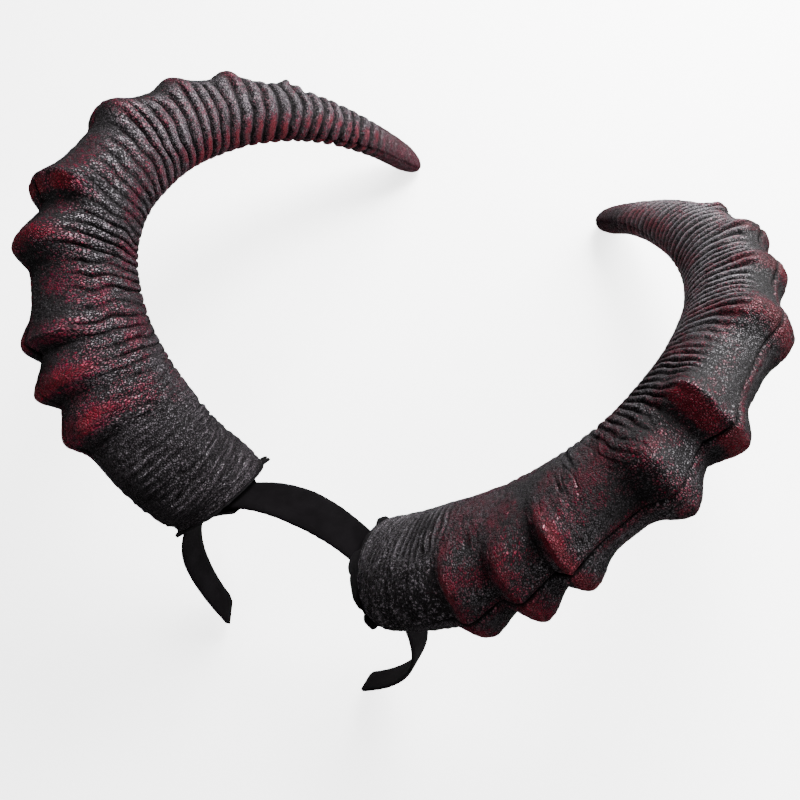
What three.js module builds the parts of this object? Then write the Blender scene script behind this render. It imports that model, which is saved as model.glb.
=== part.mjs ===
import * as THREE from 'three';
import { NURBSCurve } from 'three/addons/curves/NURBSCurve.js';

// Horn headband. Lengths are millimetres, X runs across the head, Z is up.
// It is modelled as worn, with the face toward -Y, then laid down at the end
// the way it settles on a table: on the two band ends and the two horn tips.

// Driving sizes
const HORN_SPAN = 273;
const HORN_DEPTH = 64;
const BAND_HEIGHT = 133;
const BAND_SPAN = 161.5;
const BAND_WIDTH = 25.5;
const BAND_THICK = 2.4;
const BAND_TOP_ROLL = 0.12;
const FOAM_WALL = 2.2;
const FELT_THICK = 1.5;
const COVER_MARGIN = 0.9;
const PATCH_HALF_LENGTH = 19;
const PATCH_MARGIN = 6.5;
const LEFT_END_SKEW = 11;
const PIECE_GAP = 0.3;
const KNOB_RISE = 10.5;
const KNOB_HALF_LENGTH = 13;
const RIB_RISE = 0.9;
const RIB_COUNT = 34;

// Where along the band's curve the right horn stands, 0 at the left end and 1 at the right
const HORN_STATION_SHARE = 0.694;

// Right half of the band's centre line, as shares of BAND_SPAN and BAND_HEIGHT
const BAND_LINE = [
  { out: 0.0, up: 1.0447 },
  { out: 0.3099, up: 0.9106 },
  { out: 0.5286, up: 0.5693 },
  { out: 0.5073, up: 0.2186 },
  { out: 0.3059, up: 0.0 },
];

// Band width from the top to an end, as shares of BAND_WIDTH
const BAND_TAPER = [
  { along: 0.0, width: 1.0 },
  { along: 0.45, width: 0.92 },
  { along: 0.8, width: 0.8 },
  { along: 1.0, width: 0.63 },
];

// Control points of the right horn's centre line, as shares of HORN_SPAN from its base
const HORN_LINE = [
  { out: 0.0, back: 0.0, up: 0.0 },
  { out: 0.0177, back: -0.0007, up: 0.0201 },
  { out: 0.0694, back: -0.0672, up: 0.094 },
  { out: 0.3127, back: -0.0209, up: 0.324 },
  { out: 0.4485, back: 0.1918, up: 0.5187 },
  { out: 0.4451, back: 0.5887, up: 0.5737 },
  { out: 0.2263, back: 0.8851, up: 0.5089 },
  { out: 0.0565, back: 1.046, up: 0.34 },
];

// Half sizes of the horn's section toward the crest and toward the side,
// as shares of HORN_DEPTH, against the share of the horn's length
const HORN_GIRTH = [
  { along: 0.0, crest: 0.502, side: 0.35 },
  { along: 0.125, crest: 0.524, side: 0.374 },
  { along: 0.25, crest: 0.48, side: 0.342 },
  { along: 0.375, crest: 0.432, side: 0.332 },
  { along: 0.5, crest: 0.418, side: 0.334 },
  { along: 0.625, crest: 0.366, side: 0.302 },
  { along: 0.75, crest: 0.3, side: 0.238 },
  { along: 0.875, crest: 0.248, side: 0.176 },
  { along: 1.0, crest: 0.186, side: 0.135 },
];

// Knobs on the crest: place along the horn, rise as a share of KNOB_RISE,
// length as a share of KNOB_HALF_LENGTH, reach round the flank in radians.
// Broad says how far the knob's flat top keeps the crest's height to either side.
const KNOBS = [
  { along: 0.158, rise: 0.72, length: 0.95, reach: 1.5, broad: 0.45 },
  { along: 0.208, rise: 0.85, length: 0.9, reach: 1.6, broad: 0.9 },
  { along: 0.252, rise: 0.76, length: 0.85, reach: 1.7, broad: 0.45 },
  { along: 0.343, rise: 0.95, length: 1.0, reach: 1.8, broad: 0.5 },
  { along: 0.403, rise: 0.97, length: 1.0, reach: 1.7, broad: 0.1 },
  { along: 0.511, rise: 0.72, length: 1.0, reach: 1.5, broad: 0.15 },
  { along: 0.596, rise: 0.44, length: 0.9, reach: 1.3, broad: 0.1 },
  { along: 0.672, rise: 0.5, length: 0.8, reach: 1.2, broad: 0 },
  { along: 0.76, rise: 0.42, length: 0.7, reach: 1.0, broad: 0 },
];

// The side of the horn faces this way at the base, and turns by the second near the tip
const FLANK_WAY = new THREE.Vector3(-0.765, -0.283, 0.5785);
const FLANK_TURN = new THREE.Vector3(0.531, 0.686, 0.4815);
const FLANK_TURN_FROM_SHARE = 0.65;

const RIBS_FROM_SHARE = 0.42;
const RIBS_TO_SHARE = 0.93;
const TIP_ROUND_FROM_SHARE = 0.955;

// Angles round half a section, crest seam to inner seam
const OUTER_ANGLES = [0, 0.2, 0.45, 0.78, 1.15, 1.6, 2.1, 2.6, Math.PI];
const INNER_ANGLES = [0, 0.4, 0.95, 1.6, 2.4, Math.PI];

function lerpTable(rows, key, at) {
  let i = 0;
  while (i < rows.length - 2 && at > rows[i + 1].along) {
    i += 1;
  }
  const a = rows[i];
  const b = rows[i + 1];
  const k = THREE.MathUtils.clamp((at - a.along) / (b.along - a.along), 0, 1);
  return a[key] + (b[key] - a[key]) * k;
}

function smooth(x) {
  const k = THREE.MathUtils.clamp(x, 0, 1);
  return k * k * (3 - 2 * k);
}

// A clamped cubic curve through the table's control points
function clampedCurve(points) {
  const inner = points.length - 4;
  const knots = [0, 0, 0, 0];
  for (let i = 1; i <= inner; i += 1) {
    knots.push(i / (inner + 1));
  }
  knots.push(1, 1, 1, 1);
  const weighted = points.map((p) => new THREE.Vector4(p.x, p.y, p.z, 1));
  const curve = new NURBSCurve(3, knots, weighted);
  curve.arcLengthDivisions = 600;
  return curve;
}

// One closed body: vertices, and triangles that look outward once finished
class Body {
  constructor() {
    this.points = [];
    this.faces = [];
  }

  add(point) {
    this.points.push(point);
    return this.points.length - 1;
  }

  tri(a, b, c) {
    if (a !== b && b !== c && a !== c) {
      this.faces.push([a, b, c]);
    }
  }

  quad(a, b, c, d) {
    this.tri(a, b, c);
    this.tri(a, c, d);
  }

  // Joins two edge lines with different numbers of points
  stitch(first, second) {
    let i = 0;
    let j = 0;
    while (i < first.length - 1 || j < second.length - 1) {
      const nextI = (i + 1) / (first.length - 1);
      const nextJ = (j + 1) / (second.length - 1);
      if (j === second.length - 1 || (i < first.length - 1 && nextI <= nextJ)) {
        this.tri(first[i + 1], first[i], second[j]);
        i += 1;
      } else {
        this.tri(first[i], second[j], second[j + 1]);
        j += 1;
      }
    }
  }

  mirrored() {
    const twin = new Body();
    twin.points = this.points.map((p) => new THREE.Vector3(-p.x, p.y, p.z));
    twin.faces = this.faces.map(([a, b, c]) => [a, c, b]);
    return twin;
  }

  geometry() {
    let volume = 0;
    for (const [a, b, c] of this.faces) {
      const normal = new THREE.Vector3().crossVectors(this.points[b], this.points[c]);
      volume += this.points[a].dot(normal);
    }
    const index = volume > 0
      ? this.faces.flat()
      : this.faces.map(([a, b, c]) => [a, c, b]).flat();
    const shape = new THREE.BufferGeometry().setFromPoints(this.points);
    shape.setIndex(index);
    return shape;
  }
}

// Band

const bandPoints = [];
for (let i = BAND_LINE.length - 1; i > 0; i -= 1) {
  const row = BAND_LINE[i];
  bandPoints.push(new THREE.Vector3(-row.out * BAND_SPAN, 0, row.up * BAND_HEIGHT));
}
for (const row of BAND_LINE) {
  bandPoints.push(new THREE.Vector3(row.out * BAND_SPAN, 0, row.up * BAND_HEIGHT));
}
const bandCurve = clampedCurve(bandPoints);

function bandNormal(at) {
  const along = bandCurve.getTangent(at);
  return new THREE.Vector3(-along.z, 0, along.x);
}

function bandBody() {
  const body = new Body();
  const stations = 42;
  const rings = [];
  for (let i = 0; i <= stations; i += 1) {
    const at = i / stations;
    const fromTop = Math.abs(at - 0.5) * 2;
    const centre = bandCurve.getPoint(at);
    const normal = bandNormal(at);
    const roll = BAND_TOP_ROLL * (1 - smooth(fromTop / 0.25));
    const half = (BAND_WIDTH / 2) * lerpTable(BAND_TAPER, 'width', fromTop);
    const skew = LEFT_END_SKEW * (1 - smooth(at / 0.08)) / (2 * half);
    const across = new THREE.Vector3(0, Math.cos(roll), 0).addScaledVector(normal, Math.sin(roll));
    const out = normal.clone().multiplyScalar(Math.cos(roll));
    out.y -= Math.sin(roll);
    const edge = BAND_THICK * 0.3;
    const section = [
      { y: -half + edge, z: 0.5 },
      { y: half - edge, z: 0.5 },
      { y: half, z: 0.2 },
      { y: half, z: -0.2 },
      { y: half - edge, z: -0.5 },
      { y: -half + edge, z: -0.5 },
      { y: -half, z: -0.2 },
      { y: -half, z: 0.2 },
    ];
    const ahead = bandCurve.getTangent(at);
    rings.push(section.map((p) => body.add(centre.clone()
      .addScaledVector(across, p.y)
      .addScaledVector(out, p.z * BAND_THICK)
      .addScaledVector(ahead, skew * (p.y + half)))));
  }
  for (let i = 0; i < stations; i += 1) {
    for (let j = 0; j < 8; j += 1) {
      const k = (j + 1) % 8;
      body.quad(rings[i][j], rings[i + 1][j], rings[i + 1][k], rings[i][k]);
    }
  }
  const first = rings[0];
  const last = rings[stations];
  for (let j = 1; j < 7; j += 1) {
    body.tri(first[0], first[j], first[j + 1]);
    body.tri(last[0], last[j + 1], last[j]);
  }
  return body;
}

// Horn base: a plane square to the band, above the cover felt

const seat = bandCurve.getPoint(HORN_STATION_SHARE);
const seatUp = bandNormal(HORN_STATION_SHARE);
const seatAlong = bandCurve.getTangent(HORN_STATION_SHARE);
const coverUnder = BAND_THICK / 2 + PIECE_GAP;
const rimHeight = coverUnder + FELT_THICK + PIECE_GAP;
const hornBase = seat.clone().addScaledVector(seatUp, rimHeight);

const hornCurve = clampedCurve(HORN_LINE.map((row) => new THREE.Vector3(
  row.out * HORN_SPAN,
  row.back * HORN_SPAN,
  row.up * HORN_SPAN,
).add(hornBase)));
const hornLength = hornCurve.getLength();

// Centre, crest direction and flank direction at a share of the horn's length.
// The first sections lean so that the rim lies flat on the cover.
function hornFrame(at) {
  const centre = hornCurve.getPointAt(at);
  const along = hornCurve.getTangentAt(at);
  along.lerp(seatUp, 1 - smooth(at / 0.05)).normalize();
  const turn = THREE.MathUtils.clamp((at - FLANK_TURN_FROM_SHARE) / (1 - FLANK_TURN_FROM_SHARE), 0, 1);
  const flank = FLANK_WAY.clone().addScaledVector(FLANK_TURN, turn);
  flank.addScaledVector(along, -flank.dot(along)).normalize();
  const crest = new THREE.Vector3().crossVectors(along, flank);
  return { centre, crest, flank };
}

// Half sizes of the plain section at a share of the horn's length
function girth(at) {
  return {
    deep: lerpTable(HORN_GIRTH, 'crest', at) * HORN_DEPTH,
    wide: lerpTable(HORN_GIRTH, 'side', at) * HORN_DEPTH,
  };
}

// What the knobs add toward the crest and toward the flank.
// Each is steeper on the side of the horn's base.
function knobPush(at, angle) {
  let best = { deep: 0, wide: 0 };
  for (const knob of KNOBS) {
    const offset = (at - knob.along) * hornLength / (knob.length * KNOB_HALF_LENGTH);
    const swell = Math.exp((offset < 0 ? -3.2 : -1.9) * offset * offset);
    const rise = knob.rise * KNOB_RISE * swell * (1 - smooth((angle - 0.35) / (knob.reach - 0.35)));
    const flat = knob.broad * swell * girth(at).deep * (1 - Math.cos(angle));
    const deep = rise + flat * (1 - smooth((angle - 0.5) / 0.7));
    if (deep > best.deep) {
      best = { deep, wide: 0.8 * rise * Math.sin(angle) };
    }
  }
  return best;
}

function ribHeight(at, angle) {
  if (at < RIBS_FROM_SHARE || at > RIBS_TO_SHARE) {
    return 0;
  }
  const phase = (at - RIBS_FROM_SHARE) / (RIBS_TO_SHARE - RIBS_FROM_SHARE) * RIB_COUNT;
  const ends = smooth((at - RIBS_FROM_SHARE) / 0.06) * smooth((RIBS_TO_SHARE - at) / 0.06);
  return RIB_RISE * ends * smooth(angle / 0.6) * (0.5 - 0.5 * Math.cos(2 * Math.PI * phase));
}

function outerPoint(at, angle, side) {
  const frame = hornFrame(at);
  const end = THREE.MathUtils.clamp((at - TIP_ROUND_FROM_SHARE) / (1 - TIP_ROUND_FROM_SHARE), 0, 1);
  const round = Math.sqrt(1 - end * end);
  return sectionPoint(frame, at, angle, side, ribHeight(at, angle), round);
}

// A point on the section, thickened or thinned evenly, knobs included
function sectionPoint(frame, at, angle, side, extra, round) {
  const plain = girth(at);
  const push = knobPush(at, angle);
  const deep = ((plain.deep + extra) * Math.cos(angle) + push.deep) * round;
  const wide = ((plain.wide + extra) * Math.sin(angle) + push.wide) * round;
  return frame.centre
    .addScaledVector(frame.crest, deep)
    .addScaledVector(frame.flank, side * (wide + PIECE_GAP / 2));
}

function innerPoint(at, angle, side) {
  const frame = hornFrame(at);
  const last = 1 - (1.6 * FOAM_WALL) / hornLength;
  const end = THREE.MathUtils.clamp((at - TIP_ROUND_FROM_SHARE) / (last - TIP_ROUND_FROM_SHARE), 0, 1);
  const round = Math.sqrt(1 - end * end);
  return sectionPoint(frame, at, angle, side, -FOAM_WALL, round);
}

// Stations at the knobs' peaks and feet, the ribs' peaks and valleys, and between
function outerStations() {
  const list = [0, 0.02, 0.05, 0.085, 0.1, 0.115];
  for (const knob of KNOBS) {
    if (knob.along < RIBS_FROM_SHARE) {
      const half = knob.length * KNOB_HALF_LENGTH / hornLength;
      list.push(knob.along - 0.9 * half, knob.along - 0.4 * half, knob.along);
      list.push(knob.along + 0.4 * half, knob.along + 0.9 * half);
    }
  }
  list.push(0.278, 0.29, 0.3);
  for (let i = 0; i <= 2 * RIB_COUNT; i += 1) {
    list.push(RIBS_FROM_SHARE + (RIBS_TO_SHARE - RIBS_FROM_SHARE) * i / (2 * RIB_COUNT));
  }
  list.push(0.945, TIP_ROUND_FROM_SHARE, 0.97, 0.983, 0.992, 0.998, 1);
  return tidyStations(list, 0.004);
}

function innerStations() {
  const list = [0, 0.03, 0.07, 0.11];
  for (const knob of KNOBS) {
    const half = knob.length * KNOB_HALF_LENGTH / hornLength;
    list.push(knob.along - 0.75 * half, knob.along, knob.along + 0.75 * half);
  }
  const last = 1 - (1.6 * FOAM_WALL) / hornLength;
  list.push(0.29, 0.45, 0.555, 0.64, 0.72, 0.82, 0.87, 0.92);
  list.push(TIP_ROUND_FROM_SHARE, TIP_ROUND_FROM_SHARE + 0.5 * (last - TIP_ROUND_FROM_SHARE));
  list.push(TIP_ROUND_FROM_SHARE + 0.85 * (last - TIP_ROUND_FROM_SHARE), last);
  return tidyStations(list, 0.008);
}

function tidyStations(list, spacing) {
  list.sort((a, b) => a - b);
  const end = list[list.length - 1];
  const kept = [list[0]];
  for (const at of list) {
    const nearTip = at > TIP_ROUND_FROM_SHARE;
    if (at - kept[kept.length - 1] > (nearTip ? 0.001 : spacing) && at < end) {
      kept.push(at);
    }
  }
  kept.push(end);
  return kept;
}

// Grid of vertices that ends in one point at the tip
function shellGrid(body, stations, angles, side, pointAt) {
  const grid = stations.slice(0, -1).map(
    (at) => angles.map((angle) => body.add(pointAt(at, angle, side))),
  );
  const tip = body.add(pointAt(stations[stations.length - 1], 0, side));
  grid.push(angles.map(() => tip));
  return grid;
}

function halfShell(side) {
  const body = new Body();
  const outer = shellGrid(body, outerStations(), OUTER_ANGLES, side, outerPoint);
  const inner = shellGrid(body, innerStations(), INNER_ANGLES, side, innerPoint);
  for (let i = 0; i < outer.length - 1; i += 1) {
    for (let j = 0; j < OUTER_ANGLES.length - 1; j += 1) {
      body.quad(outer[i][j], outer[i + 1][j], outer[i + 1][j + 1], outer[i][j + 1]);
    }
  }
  for (let i = 0; i < inner.length - 1; i += 1) {
    for (let j = 0; j < INNER_ANGLES.length - 1; j += 1) {
      body.quad(inner[i][j], inner[i][j + 1], inner[i + 1][j + 1], inner[i + 1][j]);
    }
  }
  seamFace(body, outer, inner, outerStations(), innerStations(), 0);
  seamFace(body, outer, inner, outerStations(), innerStations(), -1);
  body.stitch(outer[0].slice().reverse(), inner[0].slice().reverse());
  return body;
}

// Flat face along the crest seam (column 0) or the inner seam (the last column),
// triangulated so that the two edge lines keep in step along the horn
function seamFace(body, outer, inner, outerAt, innerAt, column) {
  const a = outer.map((row) => row.at(column));
  const b = inner.map((row) => row.at(column));
  let i = 0;
  let j = 0;
  while (i < a.length - 1 || j < b.length - 1) {
    const stepOuter = j === b.length - 1
      || (i < a.length - 1 && outerAt[i + 1] <= innerAt[j + 1]);
    if (stepOuter) {
      if (column === 0) {
        body.tri(a[i + 1], a[i], b[j]);
      } else {
        body.tri(a[i], a[i + 1], b[j]);
      }
      i += 1;
    } else {
      if (column === 0) {
        body.tri(a[i], b[j], b[j + 1]);
      } else {
        body.tri(a[i], b[j + 1], b[j]);
      }
      j += 1;
    }
  }
}

// Felt cover: a flat oval a little larger than the horn's rim
function coverBody() {
  const body = new Body();
  const frame = hornFrame(0);
  const rim = girth(0);
  const deep = rim.deep + COVER_MARGIN;
  const wide = rim.wide + COVER_MARGIN;
  const sides = 36;
  const levels = [rimHeight - PIECE_GAP, coverUnder];
  const rings = levels.map((level) => {
    const ring = [];
    for (let i = 0; i < sides; i += 1) {
      const angle = 2 * Math.PI * i / sides;
      ring.push(body.add(seat.clone()
        .addScaledVector(seatUp, level)
        .addScaledVector(frame.crest, deep * Math.cos(angle))
        .addScaledVector(frame.flank, wide * Math.sin(angle))));
    }
    return ring;
  });
  const middles = levels.map((level) => body.add(seat.clone().addScaledVector(seatUp, level)));
  for (let i = 0; i < sides; i += 1) {
    const k = (i + 1) % sides;
    body.tri(middles[0], rings[0][i], rings[0][k]);
    body.tri(middles[1], rings[1][k], rings[1][i]);
    body.quad(rings[0][k], rings[0][i], rings[1][i], rings[1][k]);
  }
  return body;
}

// How far the band has dropped below the seat plane, a distance along it
function bandDrop(distance) {
  let low = HORN_STATION_SHARE - 0.2;
  let high = HORN_STATION_SHARE + 0.2;
  for (let i = 0; i < 40; i += 1) {
    const middle = (low + high) / 2;
    const reach = bandCurve.getPoint(middle).sub(seat).dot(seatAlong);
    if (reach < distance) {
      low = middle;
    } else {
      high = middle;
    }
  }
  return -bandCurve.getPoint(low).sub(seat).dot(seatUp);
}

// Felt patch: dips under the band in its middle, meets the cover on both sides
function patchBody() {
  const body = new Body();
  const half = BAND_WIDTH / 2;
  const beyond = [0.1, 0.32, 0.55, 0.78, 1].map((share) => half + share * PATCH_MARGIN);
  const columns = [0, 0.5 * half, ...beyond];
  const across = [...columns.slice(1).reverse().map((q) => -q), ...columns];
  const reach = half + PATCH_MARGIN;
  const steps = 10;
  const grids = [0, -FELT_THICK].map((level) => {
    const grid = [];
    for (let i = 0; i <= steps; i += 1) {
      const share = 2 * i / steps - 1;
      grid.push(across.map((q) => {
        const p = share * PATCH_HALF_LENGTH * Math.sqrt(1 - 0.6 * Math.pow(Math.abs(q) / reach, 4));
        const under = -bandDrop(p) - BAND_THICK / 2 - PIECE_GAP;
        const beside = coverUnder - PIECE_GAP;
        const rise = smooth((Math.abs(q) - beyond[0]) / (0.75 * PATCH_MARGIN));
        const top = under + (beside - under) * rise;
        return body.add(seat.clone()
          .addScaledVector(seatAlong, p)
          .addScaledVector(seatUp, top + level)
          .add(new THREE.Vector3(0, q, 0)));
      }));
    }
    return grid;
  });
  const [top, under] = grids;
  const last = across.length - 1;
  for (let i = 0; i < steps; i += 1) {
    for (let j = 0; j < last; j += 1) {
      body.quad(top[i][j], top[i + 1][j], top[i + 1][j + 1], top[i][j + 1]);
      body.quad(under[i][j], under[i][j + 1], under[i + 1][j + 1], under[i + 1][j]);
    }
    body.quad(top[i + 1][0], top[i][0], under[i][0], under[i + 1][0]);
    body.quad(top[i][last], top[i + 1][last], under[i + 1][last], under[i][last]);
  }
  for (let j = 0; j < last; j += 1) {
    body.quad(top[0][j], top[0][j + 1], under[0][j + 1], under[0][j]);
    body.quad(top[steps][j + 1], top[steps][j], under[steps][j], under[steps][j + 1]);
  }
  return body;
}

// Everything as worn

const foam = { color: '#3b2d32', roughness: 0.62, metalness: 0 };
const fabric = { color: '#141316', roughness: 0.92, metalness: 0 };
const felt = { color: '#0d0c0e', roughness: 0.98, metalness: 0 };

const upper = halfShell(1);
const lower = halfShell(-1);
const cover = coverBody();
const patch = patchBody();

const pieces = [
  { name: 'headband', body: bandBody(), look: fabric },
  { name: 'horn_right_upper_shell', body: upper, look: foam },
  { name: 'horn_right_lower_shell', body: lower, look: foam },
  { name: 'horn_left_upper_shell', body: upper.mirrored(), look: foam },
  { name: 'horn_left_lower_shell', body: lower.mirrored(), look: foam },
  { name: 'base_cover_right', body: cover, look: felt },
  { name: 'base_cover_left', body: cover.mirrored(), look: felt },
  { name: 'strap_patch_right', body: patch, look: felt },
  { name: 'strap_patch_left', body: patch.mirrored(), look: felt },
];

// Laid down: lean back until the band ends and the horns reach one level

function lowest(points, lean) {
  const c = Math.cos(lean);
  const s = Math.sin(lean);
  return Math.min(...points.map((p) => p.z * c - p.y * s));
}

let less = 0;
let more = 1.2;
for (let i = 0; i < 60; i += 1) {
  const lean = (less + more) / 2;
  const horns = Math.min(lowest(upper.points, lean), lowest(lower.points, lean));
  if (horns > lowest(pieces[0].body.points, lean)) {
    less = lean;
  } else {
    more = lean;
  }
}
const settle = new THREE.Matrix4().makeRotationX(-less);

const whole = new THREE.Box3();
const shapes = pieces.map((piece) => {
  const shape = piece.body.geometry();
  shape.applyMatrix4(settle);
  shape.computeBoundingBox();
  whole.union(shape.boundingBox);
  return shape;
});
const middle = whole.getCenter(new THREE.Vector3());

const headband = new THREE.Group();
headband.name = 'horn_headband';
pieces.forEach((piece, i) => {
  shapes[i].translate(0, -middle.y, -whole.min.z);
  shapes[i].computeVertexNormals();
  const mesh = new THREE.Mesh(shapes[i], new THREE.MeshStandardMaterial(piece.look));
  mesh.name = piece.name;
  headband.add(mesh);
});

export default headband;
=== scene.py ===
import math

import bpy
import numpy as np
from mathutils import Matrix, Vector


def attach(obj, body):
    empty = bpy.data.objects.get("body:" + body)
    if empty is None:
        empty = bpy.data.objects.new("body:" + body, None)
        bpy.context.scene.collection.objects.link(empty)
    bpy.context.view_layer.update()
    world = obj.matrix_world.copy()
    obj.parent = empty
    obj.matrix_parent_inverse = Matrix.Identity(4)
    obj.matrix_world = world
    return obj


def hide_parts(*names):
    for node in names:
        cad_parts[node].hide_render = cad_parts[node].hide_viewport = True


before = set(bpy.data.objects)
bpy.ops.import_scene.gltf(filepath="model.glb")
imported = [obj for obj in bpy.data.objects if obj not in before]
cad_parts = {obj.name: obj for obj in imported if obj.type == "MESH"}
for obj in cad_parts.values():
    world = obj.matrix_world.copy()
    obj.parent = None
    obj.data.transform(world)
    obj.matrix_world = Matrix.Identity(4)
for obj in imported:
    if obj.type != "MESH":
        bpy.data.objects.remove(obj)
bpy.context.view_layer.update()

# Sizes in millimetres, as worn: X across the head, face toward -Y, Z up
HORN_SPAN = 273.0
HORN_DEPTH = 64.0
BAND_HEIGHT = 133.0
BAND_SPAN = 161.5
BAND_WIDTH = 25.5
BAND_THICK = 2.4
BAND_TOP_ROLL = 0.12
FOAM_WALL = 2.2
FELT_THICK = 1.5
COVER_MARGIN = 0.4
PATCH_HALF_LENGTH = 19.0
PATCH_MARGIN = 6.5
LEFT_END_SKEW = 11.0
BAND_CORNER = 1.6
PATCH_SQUARENESS = 3.2
SEAM_HALF_WIDTH = 0.8
GAP = 0.3
HORN_STATION = 0.694
TIP_ROUND_FROM = 0.955

# How the worn object is laid down on the floor
LEAN = 0.6364663396541834
SHIFT_Y = 176.8498718738556
FLOOR_Z = -5.065744400024414

BAND_LINE = [(0.0, 1.0447), (0.3099, 0.9106), (0.5286, 0.5693), (0.5073, 0.2186), (0.3059, 0.0)]
BAND_TAPER = [(0.0, 1.0), (0.45, 0.92), (0.8, 0.8), (1.0, 0.63)]
HORN_LINE = [
    (0.0, 0.0, 0.0),
    (0.0177, -0.0007, 0.0201),
    (0.0694, -0.0672, 0.094),
    (0.3127, -0.0209, 0.324),
    (0.4485, 0.1918, 0.5187),
    (0.4451, 0.5887, 0.5737),
    (0.2263, 0.8851, 0.5089),
    (0.0565, 1.046, 0.34),
]
HORN_GIRTH = np.array([
    (0.0, 0.502, 0.35),
    (0.125, 0.524, 0.374),
    (0.25, 0.48, 0.342),
    (0.375, 0.432, 0.332),
    (0.5, 0.418, 0.334),
    (0.625, 0.366, 0.302),
    (0.75, 0.3, 0.238),
    (0.875, 0.248, 0.176),
    (1.0, 0.186, 0.135),
])
FLANK_WAY = np.array([-0.765, -0.283, 0.5785])
FLANK_TURN = np.array([0.531, 0.686, 0.4815])
FLANK_TURN_FROM = 0.65

# Knobs: place along the horn, rise mm, half length mm toward the base and toward the tip,
# power of each slope, angle to which the height holds and where it ends, how broad the top is,
# and how much of the base-side slope is a plain steep face
KNOB_KEYS = ("along", "rise", "back", "ahead", "p_back", "p_ahead", "hold", "reach", "broad", "crisp")
UPPER_KNOBS = [
    (0.158, 8.0, 6.5, 10.5, 3.0, 1.7, 0.55, 1.75, 0.40, 0.55),
    (0.208, 9.2, 7.0, 9.5, 2.2, 1.6, 0.50, 1.75, 0.60, 0.35),
    (0.252, 8.6, 5.0, 8.5, 2.0, 1.2, 0.80, 1.50, 0.40, 0.70),
    (0.343, 10.2, 8.5, 11.0, 2.2, 1.8, 0.45, 1.75, 0.45, 0.20),
    (0.403, 10.6, 7.6, 10.5, 2.8, 1.3, 0.98, 1.42, 0.20, 0.90),
    (0.511, 7.7, 9.0, 12.0, 2.2, 1.7, 0.45, 1.50, 0.15, 0.30),
    (0.596, 4.9, 8.0, 10.5, 2.0, 1.7, 0.40, 1.30, 0.10, 0.30),
    (0.672, 5.4, 7.0, 9.5, 2.0, 1.7, 0.40, 1.20, 0.0, 0.20),
    (0.76, 4.5, 6.0, 8.5, 2.0, 1.8, 0.35, 1.00, 0.0, 0.0),
]
LOWER_KNOBS = [
    (0.158, 8.0, 8.5, 10.5, 2.2, 2.0, 0.35, 1.60, 0.50, 0.2),
    (0.208, 9.4, 8.0, 9.5, 2.2, 2.0, 0.35, 1.60, 0.90, 0.2),
    (0.252, 8.6, 7.0, 9.0, 2.2, 2.0, 0.35, 1.60, 0.50, 0.2),
    (0.343, 10.2, 8.5, 10.5, 2.2, 2.0, 0.35, 1.70, 0.55, 0.2),
    (0.403, 10.6, 8.0, 10.0, 2.2, 2.0, 0.35, 1.60, 0.15, 0.2),
    (0.511, 7.7, 9.0, 11.5, 2.2, 2.0, 0.35, 1.50, 0.15, 0.2),
    (0.596, 4.9, 8.0, 10.0, 2.2, 2.0, 0.35, 1.30, 0.10, 0.1),
    (0.672, 5.4, 7.0, 9.0, 2.2, 2.0, 0.35, 1.20, 0.0, 0.0),
    (0.76, 4.5, 6.0, 8.5, 2.2, 2.0, 0.35, 1.00, 0.0, 0.0),
]
# Red brushed on each knob: amount, where it is thickest and its half width, mm past the
# knob's ridge, and the angle where it gives out
PAINT_RIGHT = [
    (1.00, -1.6, 4.2, 1.75),
    (0.95, 0.0, 5.0, 1.75),
    (1.25, 0.4, 3.4, 1.50),
    (0.60, -1.5, 5.0, 1.60),
    (1.25, -3.6, 4.0, 1.42),
    (1.00, -3.0, 6.2, 1.55),
    (0.95, -2.5, 5.8, 1.40),
    (0.85, -2.0, 5.4, 1.30),
    (0.60, -1.0, 5.0, 1.10),
]
PAINT_LEFT = [
    (0.90, 1.5, 6.0, 1.80),
    (0.86, -0.4, 5.2, 1.70),
    (0.92, -0.6, 4.8, 1.70),
    (0.86, -0.8, 5.4, 1.60),
    (1.15, -3.4, 4.0, 1.42),
    (0.75, 0.0, 6.5, 1.50),
    (0.85, 0.0, 5.5, 1.10),
    (0.75, 0.0, 5.0, 1.10),
    (0.55, 0.0, 5.0, 1.00),
]
# Rings across each horn: the shares of its length where they begin and end, the pitch of the
# sleeve's finer rows, and from place to place the mm from crest to crest and the crests' fullness
RINGS_FROM, RINGS_TO = 0.10, 0.945
SLEEVE_ROW_PITCH = 3.9
RING_PLACES = [0.10, 0.30, 0.42, 0.55, 0.65, 0.80, 0.95]
RING_PITCH = {
    "right": [6.5, 5.2, 4.5, 5.2, 6.4, 6.6, 5.8],
    "left": [7.6, 7.0, 7.2, 8.4, 9.6, 9.0, 6.4],
}
RING_FULL = {
    "right": [5.0, 3.0, 1.7, 1.3, 1.1, 1.0, 1.0],
    "left": [9.0, 7.0, 4.6, 3.0, 2.6, 2.3, 2.0],
}
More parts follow.
